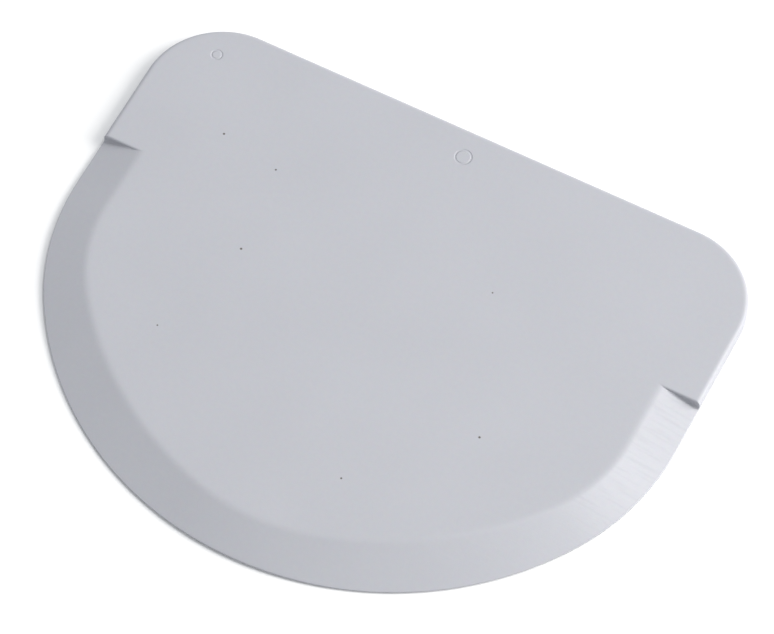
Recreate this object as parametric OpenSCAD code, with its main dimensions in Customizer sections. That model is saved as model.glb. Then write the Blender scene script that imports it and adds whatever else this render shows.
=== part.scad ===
// Bowl scraper: one moulded plate with a straight back edge and a long curved scraping edge.
// Frame: it lies flat on its underside at z = 0, the bevelled face up. X runs along the straight
// back edge, +Y points to the back edge, and the curved edge faces -Y.

/* [Plate] */
// Width along the straight back edge
width = 150; // [140:1:170]
// Depth from the back edge to the tip of the curved edge
depth = 120; // [110:1:130]
// Thickness of the plate
thickness = 3.0; // [2.4:0.1:4]
// Radius of the two back corners
corner_r = 19; // [10:0.5:30]
// Rounding of the upper edge of the grip, all round to the steps
edge_r = 1.0; // [0.4:0.1:1.2]
// Rounding of the underside's edge
under_r = 0.3; // [0.1:0.05:0.35]

/* [Curved edge] */
// How much larger the radius of the long curve through the tip is than that of the shoulders
shoulder_lead = 19.125; // [16:0.125:22]
// Thickness that the bevel leaves at the tip
scraping_t = 0.7; // [0.6:0.05:1]

/* [Bevel] */
// Distance of the two steps from the back edge
step_from_back = 40; // [34:0.5:46]
// Width of the bevel beside the steps
side_bevel_w = 9.6; // [8:0.1:10]
// Width of the bevel at the tip
tip_bevel_w = 9.8; // [9:0.1:12]
// Radius of the inner line along the flanks
inner_flank_r = 85; // [84:0.5:86]
// Radius of the inner line at the tip
inner_tip_r = 50; // [49:0.5:52]
// Rounding between the top face and the bevel
crease_r = 8; // [4:0.5:10]
// Rounding along the top of the two steps
step_r = 0.5; // [0.2:0.1:0.8]

/* [Moulding marks] */
// Diameter of the ring that the gate leaves near the back edge
gate_ring_d = 4.2; // [3:0.1:6]
// Distance of the gate ring's centre from the back edge
gate_from_back = 7.2; // [6:0.1:10]
// Diameter of the ring that the ejector pin leaves near one corner
pin_ring_d = 2.9; // [2:0.1:4]
// Distance of the pin ring's centre from the back edge
pin_from_back = 8.8; // [7:0.1:12]
// Distance of the pin ring's centre from the middle of the plate
pin_from_middle = 62.8; // [55:0.1:63]
// Width of the line that draws each ring
ring_line_w = 0.5; // [0.3:0.1:0.8]
// Depth of the rings
ring_depth = 0.1; // [0.05:0.05:0.2]

/* [Hidden] */
$fn = 32;
half_w = width / 2;
back_y = depth / 2;
tip_y = -depth / 2;
step_y = back_y - step_from_back;

// Directions in which one arc runs on into the next, as [x, y] of length 1 to full precision
shoulder_dir = [0.8432, -0.5376];
inner_tip_dir = [0.28, -0.96];
inner_shoulder_dir = [0.8, -0.6];

// Radii and centres of the outline's arcs: each arc runs on from the last one without a corner
corner_x = half_w - corner_r;
corner_y = back_y - corner_r;
tip_r = half_w + shoulder_lead * (1 - shoulder_dir[0]);
tip_cy = tip_y + tip_r;
shoulder_r = tip_r - shoulder_lead;
shoulder_x = shoulder_lead * shoulder_dir[0];
shoulder_y = tip_cy + shoulder_lead * shoulder_dir[1];

// The bevel falls at one slope from its inner line, so its width sets the edge that is left
fall = (thickness - scraping_t) / tip_bevel_w;
fall_a = atan(fall);
crease_run = crease_r * tan(fall_a / 2);

// Radii and centres of the inner line's arcs, in the same way
inner_x = half_w - side_bevel_w;
inner_tip_cy = tip_y + tip_bevel_w + inner_tip_r;
flank_lead = inner_flank_r - inner_tip_r;
flank_x = -flank_lead * inner_tip_dir[0];
flank_y = inner_tip_cy - flank_lead * inner_tip_dir[1];
inner_shoulder_r = (inner_x - flank_x - inner_flank_r * inner_shoulder_dir[0]) / (1 - inner_shoulder_dir[0]);
inner_shoulder_x = inner_x - inner_shoulder_r;
inner_shoulder_y = flank_y + (inner_flank_r - inner_shoulder_r) * inner_shoulder_dir[1];

// How far the bevel's profile runs out past its inner line, so that it passes the outline
skirt = 1.6 * tip_bevel_w;
plastic = "gainsboro";

// Half section of a rim of radius r: a full slab with the upper and lower edge rounded
module rim_section(r, upper_r, lower_r) {
    intersection() {
        square([r, thickness]);
        union() {
            square([r - upper_r, thickness]);
            translate([0, lower_r]) square([r, thickness - upper_r - lower_r]);
            translate([r - upper_r, thickness - upper_r]) circle(r = upper_r);
            translate([0, 0]) square([r - lower_r, thickness / 2]);
            translate([r - lower_r, lower_r]) circle(r = lower_r);
        }
    }
}

// Half section of a rim whose upper edge stays square, for the part that the bevel thins
module plain_section(r, lower_r) {
    union() {
        translate([0, lower_r]) square([r, thickness - lower_r]);
        square([r - lower_r, thickness / 2]);
        translate([r - lower_r, lower_r]) circle(r = lower_r);
    }
}

// Half section of what the bevel takes away outside its inner line, with the soft crease
module bevel_section(r) {
    difference() {
        polygon([[r - crease_run, thickness + 1], [r - crease_run, thickness - 0.01],
                 [r + crease_run * cos(fall_a), thickness - crease_run * sin(fall_a)],
                 [r + skirt, thickness - skirt * fall], [r + skirt, thickness + 1]]);
        translate([r - crease_run, thickness - crease_r]) circle(r = crease_r, $fn = 64);
    }
}

// Sector of a turned section about a centre, between two directions less than half a turn apart
module sector(x, y, from_dir, to_dir) {
    reach = 2 * width;
    translate([x, y, 0]) intersection() {
        rotate_extrude($fn = 180) children();
        translate([0, 0, -thickness]) linear_extrude(3 * thickness)
            polygon([[0, 0], reach * from_dir, reach * (from_dir + to_dir), reach * to_dir]);
    }
}

// Straight run of a section along Y, from one place to another, its rim towards +X
module run_along_y(from_y, to_y) {
    translate([0, to_y, 0]) rotate([90, 0, 0]) linear_extrude(to_y - from_y) children();
}

// One half of the thick grip: back edge, corner and straight side, closed by the step's rounded wall
module half_grip() {
    intersection() {
        union() {
            sector(corner_x, corner_y, [1, 0], [0, 1]) rim_section(corner_r, edge_r, under_r);
            run_along_y(step_y - thickness, corner_y) rim_section(half_w, edge_r, under_r);
            translate([0, corner_y, 0]) rotate([90, 0, 90]) linear_extrude(corner_x)
                rim_section(corner_r, edge_r, under_r);
        }
        rotate([90, 0, 90]) linear_extrude(width) union() {
            translate([step_y + step_r, 0]) square([depth, thickness]);
            translate([step_y, 0]) square([depth, thickness - step_r]);
            translate([step_y + step_r, thickness - step_r]) circle(r = step_r);
        }
    }
}

// One half of the outline below the steps, at full thickness
module half_outline() {
    sector(0, tip_cy, [0, -1], shoulder_dir) plain_section(tip_r, under_r);
    sector(shoulder_x, shoulder_y, shoulder_dir, [1, 0]) plain_section(shoulder_r, under_r);
    run_along_y(shoulder_y, step_y + step_r) plain_section(half_w, under_r);
}

// One half of the thinned blade: the outline less what the bevel takes away, arc by arc
module half_blade() {
    difference() {
        half_outline();
        sector(0, inner_tip_cy, [0, -1], inner_tip_dir) bevel_section(inner_tip_r);
        sector(flank_x, flank_y, inner_tip_dir, inner_shoulder_dir) bevel_section(inner_flank_r);
        sector(inner_shoulder_x, inner_shoulder_y, inner_shoulder_dir, [1, 0]) bevel_section(inner_shoulder_r);
        run_along_y(inner_shoulder_y, step_y + 1) bevel_section(inner_x);
    }
}

// Shallow ring cut into the top face
module ring_mark(x, from_back, d) {
    translate([x, back_y - from_back, thickness - ring_depth]) difference() {
        cylinder(h = 2 * ring_depth, d = d);
        translate([0, 0, -ring_depth]) cylinder(h = 4 * ring_depth, d = d - 2 * ring_line_w);
    }
}

// The whole scraper: grip and blade in one piece, with the two rings of the mould
module scraper() {
    color(plastic) difference() {
        for (side = [0, 1]) mirror([side, 0, 0]) {
            half_grip();
            half_blade();
        }
        ring_mark(0, gate_from_back, gate_ring_d);
        ring_mark(-pin_from_middle, pin_from_back, pin_ring_d);
    }
}

scraper();
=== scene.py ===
import math
import bpy
import numpy as np
from mathutils import Matrix, Vector


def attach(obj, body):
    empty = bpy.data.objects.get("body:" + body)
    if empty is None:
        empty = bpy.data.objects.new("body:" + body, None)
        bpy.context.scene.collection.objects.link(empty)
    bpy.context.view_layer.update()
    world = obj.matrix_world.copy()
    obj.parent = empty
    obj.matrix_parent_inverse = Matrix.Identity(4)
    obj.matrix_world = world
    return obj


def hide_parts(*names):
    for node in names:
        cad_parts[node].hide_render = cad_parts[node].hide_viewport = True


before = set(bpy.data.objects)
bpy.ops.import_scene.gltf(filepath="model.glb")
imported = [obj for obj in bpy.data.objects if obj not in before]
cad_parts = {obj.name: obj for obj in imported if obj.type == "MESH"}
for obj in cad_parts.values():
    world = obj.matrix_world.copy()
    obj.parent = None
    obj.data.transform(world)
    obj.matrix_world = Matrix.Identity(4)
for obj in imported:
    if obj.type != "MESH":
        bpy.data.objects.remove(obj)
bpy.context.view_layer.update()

# The moulding's outline. The real plate has a straight back edge, two round back corners, straight
# sides, and a curved edge of three arcs that run on from each other without a corner. Sizes in mm.
MM = 1000
WIDTH, DEPTH, THICK = 150.0, 120.0, 3.0
CORNER_R = 19.0
STEP_Y = DEPTH / 2 - 40.0
SHOULDER_LEAD, SHOULDER_COS, SHOULDER_SIN = 19.125, 0.8432, 0.5376
TIP_R = WIDTH / 2 + SHOULDER_LEAD * (1 - SHOULDER_COS)
SHOULDER_R = TIP_R - SHOULDER_LEAD
TIP_CY = -DEPTH / 2 + TIP_R
SHOULDER_X = SHOULDER_LEAD * SHOULDER_COS
SHOULDER_Y = TIP_CY - SHOULDER_LEAD * SHOULDER_SIN
SHOULDER_A = math.atan2(SHOULDER_SIN, SHOULDER_COS)
LONG_ARC_STEP, CORNER_STEP = 1.0, 0.7


def arc(cx, cy, radius, start, end, step):
    """Points and normals of an arc: (cx + r cos a, cy + r sin a), normal (cos a, sin a)."""
    count = max(2, int(round(abs(end - start) * radius / step)) + 1)
    a = np.linspace(start, end, count)
    normal = np.stack([np.cos(a), np.sin(a)], 1)
    return np.concatenate([np.array([cx, cy]) + radius * normal, normal], 1)


def right_side(y):
    """Points and normals of the straight right side at those y: (width / 2, y), normal (1, 0)."""
    return np.stack([np.full_like(y, WIDTH / 2), y, np.ones_like(y), np.zeros_like(y)], 1)


def right_blade():
    """Outline of the right half of the curved edge, from the tip to the step, closer at the step."""
    tip = arc(0, TIP_CY, TIP_R, -math.pi / 2, -SHOULDER_A, LONG_ARC_STEP)
    shoulder = arc(SHOULDER_X, SHOULDER_Y, SHOULDER_R, -SHOULDER_A, 0, LONG_ARC_STEP)
    before_step = np.array([0.4, 0.27, 0.16, 0.08, 0.02, 0.0])
    y = np.concatenate([np.linspace(SHOULDER_Y, STEP_Y - 0.6, 12), STEP_Y - before_step])
    return np.concatenate([tip[:-1], shoulder[:-1], right_side(y)])


def right_grip():
    """Outline of the right half of the grip, from the step to the middle of the back edge."""
    past_step = np.array([0.0, 0.02, 0.07, 0.15, 0.26, 0.38, 0.5, 0.8, 1.6, 4.0, 9.0])
    y = np.concatenate([STEP_Y + past_step, [DEPTH / 2 - CORNER_R - 4]])
    corner = arc(WIDTH / 2 - CORNER_R, DEPTH / 2 - CORNER_R, CORNER_R, 0, math.pi / 2, CORNER_STEP)
    x = np.linspace(WIDTH / 2 - CORNER_R, 0, 24)[1:]
    back = np.stack([x, np.full_like(x, DEPTH / 2), np.zeros_like(x), np.ones_like(x)], 1)
    return np.concatenate([right_side(y), corner, back])


# The bevel. On the real plate it starts at an inner line of its own, three arcs that don't run
# parallel to the edge, and falls to a thin scraping edge. A soft crease joins it to the top face.
EDGE_T, SIDE_W, TIP_W = 0.7, 9.6, 9.8
INNER_TIP_R, INNER_FLANK_R, INNER_SHOULDER_R = 50.0, 85.0, 36.0
INNER_TIP_A = math.atan2(0.28, 0.96)
INNER_TIP_CY = -DEPTH / 2 + TIP_W + INNER_TIP_R
FLANK_X = -(INNER_FLANK_R - INNER_TIP_R) * 0.28
FLANK_Y = INNER_TIP_CY + (INNER_FLANK_R - INNER_TIP_R) * 0.96
INNER_X = WIDTH / 2 - SIDE_W
INNER_SX = INNER_X - INNER_SHOULDER_R
INNER_SY = FLANK_Y - (INNER_FLANK_R - INNER_SHOULDER_R) * 0.6
INNER_SA = math.atan2(0.6, 0.8)
FALL = (THICK - EDGE_T) / TIP_W
CREASE_R = 8.0
CREASE_RUN = CREASE_R * math.tan(math.atan(FALL) / 2)
NARROWEST, WIDEST = 8.0, 13.0
BEVEL_FADE = 0.2
LIP_R = 0.12


def beyond_inner(x, y):
    """Distance in mm outside the bevel's inner line, negative inside it, for x >= 0."""
    tip = np.hypot(x, y - INNER_TIP_CY) - INNER_TIP_R
    flank = np.hypot(x - FLANK_X, y - FLANK_Y) - INNER_FLANK_R
    shoulder = np.hypot(x - INNER_SX, y - INNER_SY) - INNER_SHOULDER_R
    a_tip = np.arctan2(x, INNER_TIP_CY - y)
    a_shoulder = np.arctan2(INNER_SY - y, x - INNER_SX)
    out = np.where(a_tip < INNER_TIP_A, tip, flank)
    out = np.where((a_shoulder < INNER_SA) & (x > INNER_SX), shoulder, out)
    return np.where(y > INNER_SY, x - INNER_X, out)


def bevel_height(s):
    """Height s mm outside the inner line: level, a parabola over the crease, then one slope."""
    t = np.clip(s + CREASE_RUN, 0, 2 * CREASE_RUN)
    over_crease = THICK - t * t * FALL / (4 * CREASE_RUN)
    return np.where(s > CREASE_RUN, THICK - s * FALL, over_crease)


def bevel_width(x, y, nx, ny):
    """Distance from an outline point inward along its normal to the inner line, by halving."""
    if y > INNER_SY:
        return SIDE_W
    low, high = NARROWEST, WIDEST
    for _ in range(30):
        mid = (low + high) / 2
        if beyond_inner(x - nx * mid, y - ny * mid) > 0:
            low = mid
        else:
            high = mid
    return low


# The grip and the steps. The real grip keeps the full thickness and has a rounded upper edge. It
# ends in a low wall across each side, rounded along its top and with a small fillet at its foot.
EDGE_R, UNDER_R, STEP_R, FOOT_R = 1.0, 0.3, 0.5, 0.55


def rounded_rim(d):
    """Height of the grip's face d mm inward: a quarter circle of radius EDGE_R, then level."""
    left = np.clip(1 - d / EDGE_R, 0, 1)
    return THICK - EDGE_R + EDGE_R * np.sqrt(1 - left * left)


def grip_top(y, d):
    """Height of the grip's face: near the step it also follows the rounding along the wall's top,
    z = T - r + sqrt(r^2 - (r - t)^2), but never dips below the bevel that meets it."""
    past = y - STEP_Y
    if past >= STEP_R:
        return rounded_rim(d)
    wall_top = THICK - STEP_R + math.sqrt(max(0.0, STEP_R ** 2 - (STEP_R - past) ** 2))
    return np.maximum(np.minimum(rounded_rim(d), wall_top), bevel_height(SIDE_W - d))


def blade_top(x, y, nx, ny, d):
    """Height of the bevelled face with its fine lip and the step's foot, and how much is bevel."""
    lip = np.clip(1 - d / LIP_R, 0, 1)
    top = bevel_height(beyond_inner(x - nx * d, y - ny * d)) - LIP_R * (1 - np.sqrt(1 - lip * lip))
    bevel = np.clip((THICK - top) / BEVEL_FADE, 0, 1)
    into_foot = y - STEP_Y + FOOT_R
    if into_foot > 0:
        foot = FOOT_R - math.sqrt(FOOT_R ** 2 - into_foot ** 2)
        top = np.minimum(top + foot, np.maximum(top, rounded_rim(d) - STEP_R))
    return top, bevel


# The whole moulding. The real one is a single shot of plastic, so its faces are one closed mesh:
# sections stand side by side round the outline, and a flat closes them above and below.
INWARD = np.array([0, 0.02, 0.06, 0.12, 0.2, 0.32, 0.48, 0.7, 1.0, 1.4, 2.2, 3.4, 4.8, 6.2, 7.4,
                   8.2, 8.6, 8.9, 9.2, 9.5, 9.8, 10.1, 10.5, 11.0, 12.0, 14.0])
SAME_EVERYWHERE = 2


def section(place, grip):
    """One section of the plate at outline point (x, y, nx, ny), from the underside to the top face.
    Rows are (x - nx d, y - ny d, z, bevel), in mm."""
    x, y, nx, ny = place
    widening = (SIDE_W if grip else bevel_width(x, y, nx, ny)) / SIDE_W
    d = INWARD * np.where(INWARD > SAME_EVERYWHERE, widening, 1)
    top, bevel = (grip_top(y, d), np.zeros_like(d)) if grip else blade_top(x, y, nx, ny, d)
    a = np.linspace(0, math.pi / 2, 5)
    under_d = np.concatenate([[INWARD[-1] * widening, 4.0], UNDER_R * (1 - np.sin(a))])
    under_z = np.concatenate([[0.0, 0.0], UNDER_R * (1 - np.cos(a))])
    wall_z = under_z[-1] + (top[0] - under_z[-1]) * np.array([0.33, 0.67])
    d_all = np.concatenate([under_d, np.zeros_like(wall_z), d])
    z_all = np.concatenate([under_z, wall_z, top])
    bevel_all = np.concatenate([np.zeros(len(d_all) - len(d)), bevel])
    return np.stack([x - nx * d_all, y - ny * d_all, z_all, bevel_all], 1)


def moulding():
    """The right half's sections and their mirror images, joined row by row into one closed mesh."""
    rows = [section(place, False) for place in right_blade()]
    rows += [section(place, True) for place in right_grip()]
    right = np.array(rows)
    left = right[1:-1][::-1] * np.array([-1, 1, 1, 1])
    loop = np.concatenate([right, left])
    n, m = loop.shape[:2]
    points = loop.reshape(-1, 4)
    i, j = np.meshgrid(np.arange(n), np.arange(m - 1), indexing="ij")
    k = (i + 1) % n
    quads = np.stack([i * m + j, k * m + j, k * m + j + 1, i * m + j + 1], -1).reshape(-1, 4)
    faces = [tuple(quad) for quad in quads.tolist()]
    last = len(right) - 3
    for row, downward in ((0, True), (m - 1, False)):
        for a in range(last + 1):
            strip = [a, a + 1, n - a - 1, (n - a) % n]
            if a == last:
                strip.insert(2, a + 2)
            face = [b * m + row for b in dict.fromkeys(strip)]
            faces.append(tuple(face[::-1] if downward else face))
    mesh = bpy.data.meshes.new("scraper_moulding")
    mesh.from_pydata((points[:, :3] / MM).tolist(), [], faces)
    mesh.polygons.foreach_set("use_smooth", np.ones(len(mesh.polygons), bool))
    mesh.set_sharp_from_angle(angle=math.radians(38))
    amount = mesh.attributes.new("bevel", "FLOAT", "POINT")
    amount.data.foreach_set("value", points[:, 3].astype(np.float32))
    mesh.validate()
    mesh.update()
    return mesh


plate = bpy.data.objects.new("scraper_moulding", moulding())
bpy.context.scene.collection.objects.link(plate)
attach(plate, "root")
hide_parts("scraper")


# The plastic. The real plate is pale grey polypropylene: a fine matte grain on the flat faces, and a
# smoother bevel with crossed fine scuffs from scraping. A few dark specks lie on the top face.
def srgb(code):
    """Linear RGBA of an sRGB hex colour."""
    parts = [int(code[i:i + 2], 16) / 255 for i in (1, 3, 5)]
    return [c / 12.92 if c <= 0.04045 else ((c + 0.055) / 1.055) ** 2.4 for c in parts] + [1.0]


def add(tree, kind, inputs, **settings):
    """A node of that kind: settings are its own properties, and inputs maps the name or number of a
    socket to its value or to the output that feeds it."""
    made = tree.nodes.new(kind)
    for name, value in settings.items():
        setattr(made, name, value)
    for socket, value in inputs.items():
        if isinstance(value, bpy.types.NodeSocket):
            tree.links.new(value, made.inputs[socket])
        else:
            made.inputs[socket].default_value = value
    return made


polypropylene = bpy.data.materials.new("pale_grey_polypropylene")
polypropylene.use_nodes = True
tree = polypropylene.node_tree
skin = tree.nodes["Principled BSDF"]
place = add(tree, "ShaderNodeTexCoord", {}).outputs["Object"]
bevel = add(tree, "ShaderNodeAttribute", {}, attribute_name="bevel").outputs["Fac"]


def noise(vector, per_mm, detail, roughness, output="Fac"):
    """Noise of so many features to the mm."""
    return add(tree, "ShaderNodeTexNoise", {"Vector": vector, "Scale": per_mm * MM, "Detail": detail,
                                            "Roughness": roughness}).outputs[output]


def between(value, low, high, at_low=0.0, at_high=1.0):
    """The value's place between low and high, as a number from at_low to at_high."""
    return add(tree, "ShaderNodeMapRange", {"Value": value, "From Min": low, "From Max": high,
                                            "To Min": at_low, "To Max": at_high}).outputs["Result"]


def sums(operation, *inputs):
    """A math node's result."""
    return add(tree, "ShaderNodeMath", dict(enumerate(inputs)), operation=operation).outputs[0]


def mix(amount, a, b, **settings):
    """The colour between a and b."""
    return add(tree, "ShaderNodeMix", {0: amount, 6: a, 7: b}, data_type="RGBA", **settings).outputs[2]


def scuffs(turn, shift):
    """Long thin scratches in one direction: noise stretched along it, cut to its peaks."""
    turned = add(tree, "ShaderNodeMapping", {
        "Vector": place, "Rotation": (0, 0, math.radians(turn)), "Location": (shift, shift, 0),
        "Scale": (0.07 * MM, 1.3 * MM, 0.07 * MM)}).outputs["Vector"]
    return between(noise(turned, 1 / MM, 2.0, 0.5), 0.56, 0.80)


def away_from(x, y):
    """Distance in metres from a place on the top face, given in mm."""
    return add(tree, "ShaderNodeVectorMath", {0: place, 1: (x / MM, y / MM, THICK / MM)},
               operation="DISTANCE").outputs["Value"]


def ring(x, y, radius, line):
    """A fine circle on the top face: 1 on the line of that radius in mm, 0 away from it."""
    off = sums("ABSOLUTE", sums("SUBTRACT", away_from(x, y), radius / MM))
    return between(off, line / MM, line / MM / 3)


# Colour: slow unevenness over about 25 mm, a mottle of about 1 mm, and the specks
specks = 0.0
for x, y, radius in ((-51, 33, 0.35), (-36, 30, 0.3), (-33, 8, 0.35), (14, -33, 0.3),
                     (36, -10, 0.35), (-40, -18, 0.25), (22, 24, 0.25)):
    specks = sums("MAXIMUM", specks, between(away_from(x, y), radius / MM, radius / MM / 2))
uneven = mix(noise(place, 0.04, 2.0, 0.5), srgb("#AEAFB5"), srgb("#B3B4BA"))
mottled = mix(0.10, uneven, noise(place, 0.9, 3.0, 0.7, "Color"), blend_type="SOFT_LIGHT")
tree.links.new(mix(specks, mottled, srgb("#5A5650")), skin.inputs["Base Color"])

# Gloss: matte faces, and a smoother bevel that the scuffs dull
worn = sums("MULTIPLY", sums("MAXIMUM", scuffs(38, 0.3), scuffs(-47, 1.7)), bevel)
rough = sums("MULTIPLY_ADD", worn, 0.16, between(bevel, 0.0, 1.0, 0.5, 0.3))
tree.links.new(rough, skin.inputs["Roughness"])
skin.inputs["IOR"].default_value = 1.49

# Relief: the gate's ring and the ejector pin's ring, the scuffs, and a grain of about 0.35 mm
relief = sums("MAXIMUM", ring(0.0, 52.8, 1.85, 0.3), ring(-62.8, 51.2, 1.2, 0.3))
normal = add(tree, "ShaderNodeBump", {"Height": relief, "Distance": 0.1 / MM, "Strength": 1.0},
             invert=True).outputs["Normal"]
normal = add(tree, "ShaderNodeBump", {"Height": worn, "Distance": 0.006 / MM, "Strength": 0.5,
                                      "Normal": normal}, invert=True).outputs["Normal"]
normal = add(tree, "ShaderNodeBump", {"Height": noise(place, 2.8, 3.0, 0.6), "Distance": 0.03 / MM,
                                      "Strength": 0.35, "Normal": normal}).outputs["Normal"]
tree.links.new(normal, skin.inputs["Normal"])
plate.data.materials.append(polypropylene)

# The floor: a plain white table that keeps the plate's soft shadow. It lies a little under the
# plate, so that the two faces don't meet.
REACH, DROP = 6.0, 0.0002
floor_mesh = bpy.data.meshes.new("floor")
floor_mesh.from_pydata([(-REACH, -REACH, -DROP), (REACH, -REACH, -DROP), (REACH, REACH, -DROP),
                        (-REACH, REACH, -DROP)], [], [(0, 1, 2, 3)])
floor = bpy.data.objects.new("floor", floor_mesh)
bpy.context.scene.collection.objects.link(floor)
white = bpy.data.materials.new("white_table")
white.use_nodes = True
paint = white.node_tree.nodes["Principled BSDF"]
paint.inputs["Base Color"].default_value = (0.93, 0.93, 0.93, 1)
paint.inputs["Roughness"].default_value = 0.9
paint.inputs["Specular IOR Level"].default_value = 0.1
floor_mesh.materials.append(white)


# The light: a soft window high behind, which the right bevel mirrors, a broad light from the
# right, and a pale room. The camera sees the room as plain white.
def lamp(name, towards, distance, side, power, tint):
    """A square area light in that direction from the plate, facing it. Metres and watts."""
    light = bpy.data.lights.new(name, "AREA")
    light.shape = "SQUARE"
    light.size = side
    light.energy = power
    light.color = tint
    made = bpy.data.objects.new(name, light)
    at = Vector(towards).normalized() * distance
    made.location = at
    made.rotation_euler = (-at).to_track_quat("-Z", "Y").to_euler()
    bpy.context.scene.collection.objects.link(made)


lamp("window", (0.20, 0.38, 0.90), 1.6, 0.46, 6.5, (1.0, 1.0, 1.0))
lamp("right_fill", (0.80, 0.42, 0.46), 2.2, 1.6, 60.0, (1.0, 0.985, 0.96))

world = bpy.data.worlds.new("room")
bpy.context.scene.world = world
world.use_nodes = True
room = world.node_tree
room.nodes.clear()
by_camera = add(room, "ShaderNodeLightPath", {}).outputs["Is Camera Ray"]
seen = add(room, "ShaderNodeBackground", {"Color": (1, 1, 1, 1), "Strength": 1.0}).outputs[0]
lit = add(room, "ShaderNodeBackground", {"Color": (0.94, 0.965, 1.0, 1), "Strength": 0.56}).outputs[0]
both = add(room, "ShaderNodeMixShader", {0: by_camera, 1: lit, 2: seen}).outputs[0]
add(room, "ShaderNodeOutputWorld", {"Surface": both})

# The camera: a long lens above and in front of the plate, turned about 28 degrees to its right. Its
# place comes from the outline in the photograph, and so does the pixel that its axis passes through.
PHOTO_W, PHOTO_H = 774, 634
AXIS_X, AXIS_Y = 354.9, 342.38
PX_PER_MM = 4.50557
TURN, LIFT, FAR = -0.48417322, 1.05082705, 0.95228
lens = bpy.data.cameras.new("camera")
lens.sensor_width = 36.0
lens.lens = PX_PER_MM * FAR * MM * lens.sensor_width / PHOTO_W
lens.shift_x = (PHOTO_W / 2 - AXIS_X) / PHOTO_W
lens.shift_y = (AXIS_Y - PHOTO_H / 2) / PHOTO_W
lens.clip_end = 20
camera = bpy.data.objects.new("camera", lens)
towards = Vector((-math.cos(LIFT) * math.sin(TURN), -math.cos(LIFT) * math.cos(TURN), math.sin(LIFT)))
across = Vector((math.cos(TURN), -math.sin(TURN), 0))
pose = Matrix((across, towards.cross(across), towards)).transposed().to_4x4()
pose.translation = towards * FAR
camera.matrix_world = pose
bpy.context.scene.collection.objects.link(camera)
bpy.context.scene.camera = camera
bpy.context.scene.view_settings.view_transform = "Standard"
